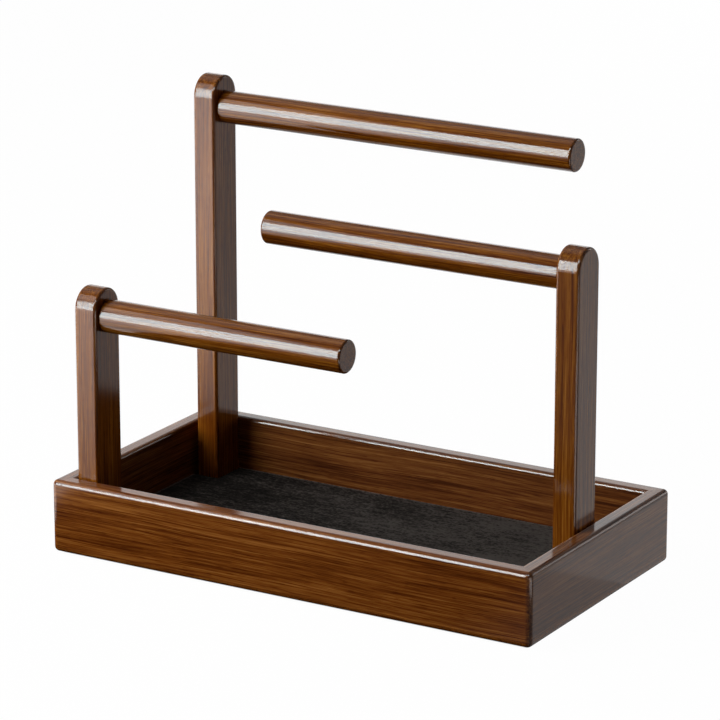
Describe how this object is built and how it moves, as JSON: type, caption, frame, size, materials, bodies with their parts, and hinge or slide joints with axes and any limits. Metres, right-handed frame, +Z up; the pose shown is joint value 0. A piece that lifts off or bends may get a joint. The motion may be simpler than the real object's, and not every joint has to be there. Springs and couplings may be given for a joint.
{
  "type": "jewelry stand",
  "caption": "Walnut jewellery stand: a shallow mitred tray with a dark suede-covered lift-out liner, and upright posts of stepped heights that carry cantilevered round bars.",
  "frame": {"origin": "on the resting surface, under the middle of the tray", "axes": "+X along the tray to the viewer's right, +Y from the front wall to the rear wall, +Z up"},
  "size_m": [0.26, 0.139, 0.214],
  "materials": {
    "walnut": "clear gloss varnish",
    "beech_tongue": "raw sanded",
    "panel_ply": "satin stain",
    "liner_board": "raw fibreboard",
    "liner_suede": "brushed nap",
    "foot_rubber": "matt",
    "zinc_steel": "bright zinc plating"
  },
  "bodies": {
    "stand": {"front_wall": "walnut", "right_wall": "walnut", "rear_wall": "walnut", "left_wall": "walnut", "front_left_spline": "beech_tongue", "front_left_foot": "foot_rubber", "front_right_spline": "beech_tongue", "front_right_foot": "foot_rubber", "rear_left_spline": "beech_tongue", "rear_left_foot": "foot_rubber", "rear_right_spline": "beech_tongue", "rear_right_foot": "foot_rubber", "bottom_panel": "panel_ply", "tall_post": "walnut", "tall_bar": "walnut", "tall_bar_stud": "zinc_steel", "tall_post_screws": "zinc_steel", "mid_post": "walnut", "mid_bar": "walnut", "mid_bar_stud": "zinc_steel", "mid_post_screws": "zinc_steel", "short_post": "walnut", "short_bar": "walnut", "short_bar_stud": "zinc_steel", "short_post_screws": "zinc_steel"},
    "liner_pad": {"liner_board": "liner_board", "liner_cover": "liner_suede"}
  },
  "joints": [
    {"name": "liner_lift", "type": "slide", "parent": "stand", "child": "liner_pad", "axis": [0, 0, 1], "range_m": [0, 0.095]}
  ]
}
